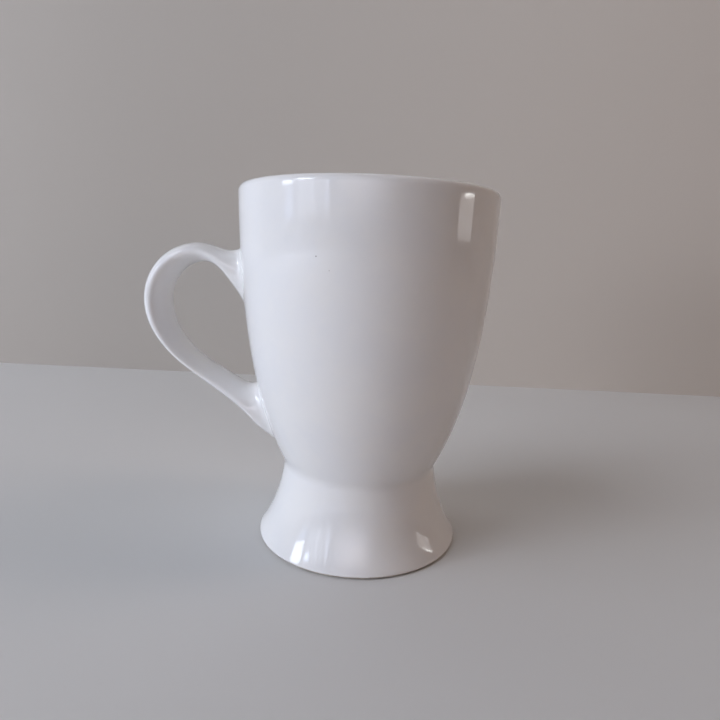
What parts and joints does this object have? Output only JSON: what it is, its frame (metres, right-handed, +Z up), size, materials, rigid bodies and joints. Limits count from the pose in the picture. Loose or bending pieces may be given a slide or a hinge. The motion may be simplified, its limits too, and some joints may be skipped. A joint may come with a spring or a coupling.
{
  "type": "footed mug",
  "caption": "Footed drinking mug: a tapering round cup on a flared hollow foot, with an ear-shaped strap handle.",
  "frame": {"origin": "on the axis of the cup, at the plane the foot ring rests on", "axes": "+Z up along the cup's axis; the handle points along -X; Y is across the handle, and the mug is mirror-symmetric about the plane Y = 0"},
  "size_m": [0.1141, 0.082, 0.115],
  "materials": {
    "clay": "fired white clay, unglazed and matt, bare only under the foot",
    "slip": "fired joining slip, matt",
    "glaze": "glossy white glaze"
  },
  "bodies": {
    "root": {"bowl": "clay", "pedestal_foot": "clay", "handle": "clay", "waist_slip_joint": "slip", "upper_handle_joint": "slip", "lower_handle_joint": "slip", "liner_glaze": "glaze", "outer_glaze": "glaze", "underside_glaze": "glaze"}
  },
  "joints": []
}
